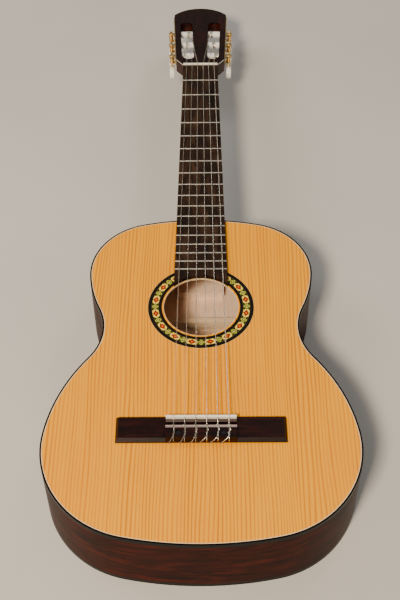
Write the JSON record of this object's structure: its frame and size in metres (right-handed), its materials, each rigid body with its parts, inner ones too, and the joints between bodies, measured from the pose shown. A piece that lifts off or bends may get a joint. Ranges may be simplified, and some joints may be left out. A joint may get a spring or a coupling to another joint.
{
  "type": "classical guitar",
  "caption": "Classical guitar lying on its back: hollow braced body, slotted head with turning geared tuning machines, and strings tied at the bridge.",
  "frame": {"origin": "middle of the guitar's bounding rectangle, on the plane of its flat back", "axes": "+Z out of the soundboard, +Y along the neck towards the head, +X to the player's bass side as strung"},
  "size_m": [0.365, 0.9994, 0.1071],
  "materials": {
    "spruce_top": "gloss lacquered, straight fine grain",
    "rosette_mosaic": "gloss, wood mosaic",
    "spruce_brace": "raw sanded",
    "lining_wood": "raw sanded",
    "mahogany_body": "gloss lacquered",
    "mahogany_neck": "satin",
    "black_binding": "gloss",
    "rosewood": "satin oiled",
    "rosewood_veneer": "gloss lacquered",
    "fingerboard_rosewood": "satin, streaked",
    "nickel_silver": "polished",
    "bone": "polished bone",
    "trim_inlay": "satin",
    "bolt_steel": "blackened",
    "gilt_brass": "polished",
    "pearl_button": "pearl",
    "white_roller": "gloss",
    "nylon_string": "clear",
    "wound_string": "wound"
  },
  "bodies": {
    "guitar": {"soundboard": "spruce_top", "rosette": "rosette_mosaic", "soundhole_patch": "spruce_brace", "back": "mahogany_body", "rib_left": "mahogany_body", "rib_right": "mahogany_body", "top_lining": "lining_wood", "back_lining": "lining_wood", "top_binding": "black_binding", "back_binding": "black_binding", "tail_block": "lining_wood", "fan_braces": "spruce_brace", "harmonic_bars": "spruce_brace", "back_braces": "spruce_brace", "neck": "mahogany_neck", "heel": "mahogany_neck", "heel_cap": "rosewood", "head": "mahogany_neck", "head_veneer": "rosewood_veneer", "fingerboard": "fingerboard_rosewood", "frets": "nickel_silver", "nut": "bone", "bridge": "rosewood", "saddle": "bone", "tie_block_trim": "trim_inlay", "bridge_bolts": "bolt_steel", "tuner_plate_left": "gilt_brass", "tuner_plate_right": "gilt_brass", "plate_screws": "gilt_brass", "string_1": "nylon_string", "string_2": "nylon_string", "string_3": "nylon_string", "string_4": "wound_string", "string_5": "wound_string", "string_6": "wound_string"},
    "button_1": {"worm_shaft_1": "gilt_brass", "button_1": "pearl_button"},
    "roller_1": {"tuner_gear_1": "gilt_brass", "roller_1": "white_roller"},
    "button_2": {"worm_shaft_2": "gilt_brass", "button_2": "pearl_button"},
    "roller_2": {"tuner_gear_2": "gilt_brass", "roller_2": "white_roller"},
    "button_3": {"worm_shaft_3": "gilt_brass", "button_3": "pearl_button"},
    "roller_3": {"tuner_gear_3": "gilt_brass", "roller_3": "white_roller"},
    "button_4": {"worm_shaft_4": "gilt_brass", "button_4": "pearl_button"},
    "roller_4": {"tuner_gear_4": "gilt_brass", "roller_4": "white_roller"},
    "button_5": {"worm_shaft_5": "gilt_brass", "button_5": "pearl_button"},
    "roller_5": {"tuner_gear_5": "gilt_brass", "roller_5": "white_roller"},
    "button_6": {"worm_shaft_6": "gilt_brass", "button_6": "pearl_button"},
    "roller_6": {"tuner_gear_6": "gilt_brass", "roller_6": "white_roller"}
  },
  "joints": [
    {"name": "button_1_turn", "type": "hinge", "parent": "guitar", "child": "button_1", "pos_m": [-0.04426, 0.34594, 0.08401], "axis": [0, 0.1392, 0.9903], "continuous": true},
    {"name": "roller_1_turn", "type": "hinge", "parent": "guitar", "child": "roller_1", "pos_m": [-0.03805, 0.35404, 0.08287], "axis": [-0.9994, -0.035, 0.0049], "continuous": true},
    {"name": "button_2_turn", "type": "hinge", "parent": "guitar", "child": "button_2", "pos_m": [-0.0455, 0.3806, 0.07914], "axis": [0, 0.1392, 0.9903], "continuous": true},
    {"name": "roller_2_turn", "type": "hinge", "parent": "guitar", "child": "roller_2", "pos_m": [-0.03929, 0.3887, 0.078], "axis": [-0.9994, -0.035, 0.0049], "continuous": true},
    {"name": "button_3_turn", "type": "hinge", "parent": "guitar", "child": "button_3", "pos_m": [-0.04674, 0.41526, 0.07427], "axis": [0, 0.1392, 0.9903], "continuous": true},
    {"name": "roller_3_turn", "type": "hinge", "parent": "guitar", "child": "roller_3", "pos_m": [-0.04053, 0.42336, 0.07313], "axis": [-0.9994, -0.035, 0.0049], "continuous": true},
    {"name": "button_4_turn", "type": "hinge", "parent": "guitar", "child": "button_4", "pos_m": [0.04674, 0.41526, 0.07427], "axis": [0, 0.1392, 0.9903], "continuous": true},
    {"name": "roller_4_turn", "type": "hinge", "parent": "guitar", "child": "roller_4", "pos_m": [0.04053, 0.42336, 0.07313], "axis": [0.9994, -0.035, 0.0049], "continuous": true},
    {"name": "button_5_turn", "type": "hinge", "parent": "guitar", "child": "button_5", "pos_m": [0.0455, 0.3806, 0.07914], "axis": [0, 0.1392, 0.9903], "continuous": true},
    {"name": "roller_5_turn", "type": "hinge", "parent": "guitar", "child": "roller_5", "pos_m": [0.03929, 0.3887, 0.078], "axis": [0.9994, -0.035, 0.0049], "continuous": true},
    {"name": "button_6_turn", "type": "hinge", "parent": "guitar", "child": "button_6", "pos_m": [0.04426, 0.34594, 0.08401], "axis": [0, 0.1392, 0.9903], "continuous": true},
    {"name": "roller_6_turn", "type": "hinge", "parent": "guitar", "child": "roller_6", "pos_m": [0.03805, 0.35404, 0.08287], "axis": [0.9994, -0.035, 0.0049], "continuous": true}
  ],
  "couplings": [
    {"joint": "roller_1_turn", "follows": "button_1_turn", "ratio": 0.071429},
    {"joint": "roller_2_turn", "follows": "button_2_turn", "ratio": 0.071429},
    {"joint": "roller_3_turn", "follows": "button_3_turn", "ratio": 0.071429},
    {"joint": "roller_4_turn", "follows": "button_4_turn", "ratio": 0.071429},
    {"joint": "roller_5_turn", "follows": "button_5_turn", "ratio": 0.071429},
    {"joint": "roller_6_turn", "follows": "button_6_turn", "ratio": 0.071429}
  ]
}
